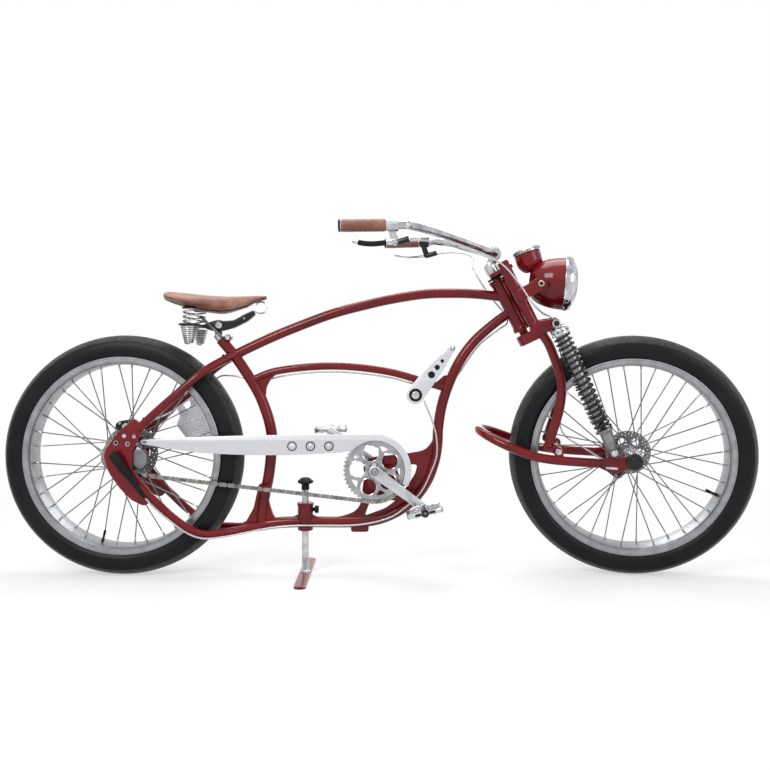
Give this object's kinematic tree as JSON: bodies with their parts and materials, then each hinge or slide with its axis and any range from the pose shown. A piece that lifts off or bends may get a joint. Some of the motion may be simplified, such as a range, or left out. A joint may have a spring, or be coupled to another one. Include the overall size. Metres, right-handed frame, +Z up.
{
  "type": "chopper bicycle",
  "caption": "Red chopper bicycle with fat tyres, a raked fork, twin coil shocks, long handlebars, a round headlight and a sprung tan saddle, on its stand.",
  "frame": {"origin": "middle of the stand foot's underside, on the ground", "axes": "+X forward towards the front wheel, +Y to the rider's left, +Z up"},
  "size_m": [2.1412, 0.7247, 1.0337],
  "materials": {
    "red_paint": "deep metallic red, glossy",
    "black_tyre": "matt with a greyer shoulder",
    "bright_rim": "polished",
    "bright_metal": "mirror bright",
    "dull_steel": "satin",
    "pale_guard": "pale silver, satin",
    "black_metal": "satin black",
    "black_plastic": "matt",
    "black_rubber": "matt",
    "tan_leather": "smooth tan leather",
    "clear_glass": "ribbed and clear",
    "dial": "pale dial under glass",
    "braided_steel": "steel braid under a clear skin",
    "chain_steel": "oiled steel"
  },
  "bodies": {
    "frame": {"frame": "red_paint", "chain_guard": "pale_guard", "chain": "chain_steel", "rear_axle": "dull_steel", "cable_boot": "black_rubber", "rear_caliper": "black_metal", "side_plate": "bright_metal", "rear_brake_hose": "braided_steel", "shift_cable": "braided_steel"},
    "stand": {"stand_leg": "bright_metal", "stand_knob": "black_plastic"},
    "stand_lock": {"stand_lock_knob": "black_plastic"},
    "shift_lever": {"shift_lever": "bright_metal"},
    "crank": {"crank_right": "bright_metal", "crank_left": "bright_metal", "chainring": "bright_metal"},
    "pedal_right": {"pedal_right": "bright_rim"},
    "pedal_left": {"pedal_left": "bright_rim"},
    "rear_wheel": {"rear_tyre": "black_tyre", "rear_rim": "bright_rim", "rear_hub": "bright_metal", "rear_rotor": "dull_steel"},
    "sprocket": {"rear_sprocket": "dull_steel"},
    "seat_post": {"saddle_frame": "black_metal", "saddle_lower_spring_right": "bright_metal", "saddle_lower_spring_left": "bright_metal", "saddle_upper_spring_right": "bright_metal", "saddle_upper_spring_left": "bright_metal", "saddle_nose_spring": "bright_metal"},
    "saddle": {"saddle": "tan_leather"},
    "steering": {"fork": "red_paint", "headset_lock_ring": "black_metal", "stem": "bright_metal", "handlebar": "bright_metal", "grip_right": "tan_leather", "grip_left": "tan_leather", "lever_perch_right": "bright_metal", "lever_perch_left": "bright_metal", "front_brake_hose": "braided_steel"},
    "brake_lever_right": {"brake_lever_right": "bright_metal"},
    "brake_lever_left": {"brake_lever_left": "bright_metal"},
    "headlight": {"headlight_shell": "red_paint", "headlight_bezel": "bright_metal", "headlight_lens": "clear_glass", "speedometer": "dial"},
    "swingarm": {"swingarm": "red_paint", "front_axle": "black_metal", "front_caliper": "black_metal"},
    "shock_upper_right": {"shock_upper_right": "bright_metal", "shock_spring_right": "black_metal"},
    "shock_upper_left": {"shock_upper_left": "bright_metal", "shock_spring_left": "black_metal"},
    "shock_slider_right": {"shock_slider_right": "bright_metal"},
    "shock_slider_left": {"shock_slider_left": "bright_metal"},
    "front_wheel": {"front_tyre": "black_tyre", "front_rim": "bright_rim", "front_hub": "bright_metal", "front_rotor": "dull_steel"}
  },
  "joints": [
    {"name": "stand_raise", "type": "slide", "parent": "frame", "child": "stand", "axis": [0, 0, 1], "range_m": [0, 0.115]},
    {"name": "stand_lock_turn", "type": "hinge", "parent": "frame", "child": "stand_lock", "pos_m": [0, 0, 0.186], "axis": [1, 0, 0], "continuous": true},
    {"name": "shift_lever_turn", "type": "hinge", "parent": "frame", "child": "shift_lever", "pos_m": [0.318, -0.0285, 0.518], "axis": [0, -1, 0], "range_deg": [0, 25]},
    {"name": "crank_turn", "type": "hinge", "parent": "frame", "child": "crank", "pos_m": [0.202, 0, 0.306], "axis": [0, 1, 0], "continuous": true},
    {"name": "pedal_right_turn", "type": "hinge", "parent": "crank", "child": "pedal_right", "pos_m": [0.33866, -0.145, 0.20488], "axis": [0, 1, 0], "continuous": true},
    {"name": "pedal_left_turn", "type": "hinge", "parent": "crank", "child": "pedal_left", "pos_m": [0.06534, 0.145, 0.40712], "axis": [0, 1, 0], "continuous": true},
    {"name": "sprocket_turn", "type": "hinge", "parent": "frame", "child": "sprocket", "pos_m": [-0.521, -0.058, 0.345], "axis": [0, 1, 0], "continuous": true},
    {"name": "rear_wheel_turn", "type": "hinge", "parent": "frame", "child": "rear_wheel", "pos_m": [-0.521, 0, 0.345], "axis": [0, 1, 0], "continuous": true},
    {"name": "seat_post_raise", "type": "slide", "parent": "frame", "child": "seat_post", "axis": [-0.6408, 0, 0.7677], "range_m": [0, 0.02]},
    {"name": "saddle_tilt", "type": "hinge", "parent": "seat_post", "child": "saddle", "pos_m": [-0.129, 0, 0.77], "axis": [0, -1, 0], "range_deg": [0, 3], "stiffness_Nm_per_rad": 350, "springref_deg": -1.15, "deforming": ["saddle_upper_spring_right", "saddle_upper_spring_left", "saddle_nose_spring"]},
    {"name": "steering_turn", "type": "hinge", "parent": "frame", "child": "steering", "pos_m": [0.6316, 0, 0.7], "axis": [-0.454, 0, 0.891], "range_deg": [-24, 46], "deforming": ["rear_brake_hose"]},
    {"name": "brake_lever_right_pull", "type": "hinge", "parent": "steering", "child": "brake_lever_right", "pos_m": [0.2565, -0.29776, 0.91423], "axis": [0.17, 0.9816, 0.0866], "range_deg": [0, 9], "stiffness_Nm_per_rad": 2, "springref_deg": -5.73},
    {"name": "brake_lever_left_pull", "type": "hinge", "parent": "steering", "child": "brake_lever_left", "pos_m": [0.37126, 0.36484, 0.9727], "axis": [0.17, 0.9816, 0.0866], "range_deg": [0, 9], "stiffness_Nm_per_rad": 2, "springref_deg": -5.73},
    {"name": "headlight_tilt", "type": "hinge", "parent": "steering", "child": "headlight", "pos_m": [0.67827, -0.02018, 0.83712], "axis": [0.17, 0.9816, 0.0866], "range_deg": [-8, 8]},
    {"name": "swingarm_turn", "type": "hinge", "parent": "steering", "child": "swingarm", "pos_m": [0.73302, 0.01186, 0.36652], "axis": [-0.17, -0.9816, -0.0866], "range_deg": [0, 10], "stiffness_Nm_per_rad": 600, "springref_deg": -5.73, "deforming": ["front_brake_hose", "shock_spring_right", "shock_spring_left"]},
    {"name": "front_wheel_turn", "type": "hinge", "parent": "swingarm", "child": "front_wheel", "pos_m": [0.93519, -0.02114, 0.3437], "axis": [0.17, 0.9816, 0.0866], "continuous": true},
    {"name": "shock_swing_right", "type": "hinge", "parent": "steering", "child": "shock_upper_right", "pos_m": [0.70262, -0.115, 0.71864], "axis": [-0.17, -0.9816, -0.0866], "range_deg": [0, 1.3]},
    {"name": "shock_slide_right", "type": "slide", "parent": "shock_upper_right", "child": "shock_slider_right", "axis": [-0.4098, -0.0095, 0.9121], "range_m": [0, 0.026], "deforming": ["shock_spring_right"]},
    {"name": "shock_swing_left", "type": "hinge", "parent": "steering", "child": "shock_upper_left", "pos_m": [0.73635, 0.07975, 0.73582], "axis": [-0.17, -0.9816, -0.0866], "range_deg": [0, 1.3]},
    {"name": "shock_slide_left", "type": "slide", "parent": "shock_upper_left", "child": "shock_slider_left", "axis": [-0.4098, -0.0095, 0.9121], "range_m": [0, 0.026], "deforming": ["shock_spring_left"]}
  ],
  "couplings": [
    {"joint": "sprocket_turn", "follows": "crank_turn", "ratio": 2},
    {"joint": "shock_swing_right", "follows": "swingarm_turn", "ratio": 0.12028},
    {"joint": "shock_slide_right", "follows": "swingarm_turn", "m_per_rad": 0.14176},
    {"joint": "shock_swing_left", "follows": "swingarm_turn", "ratio": 0.12028},
    {"joint": "shock_slide_left", "follows": "swingarm_turn", "m_per_rad": 0.14176}
  ]
}
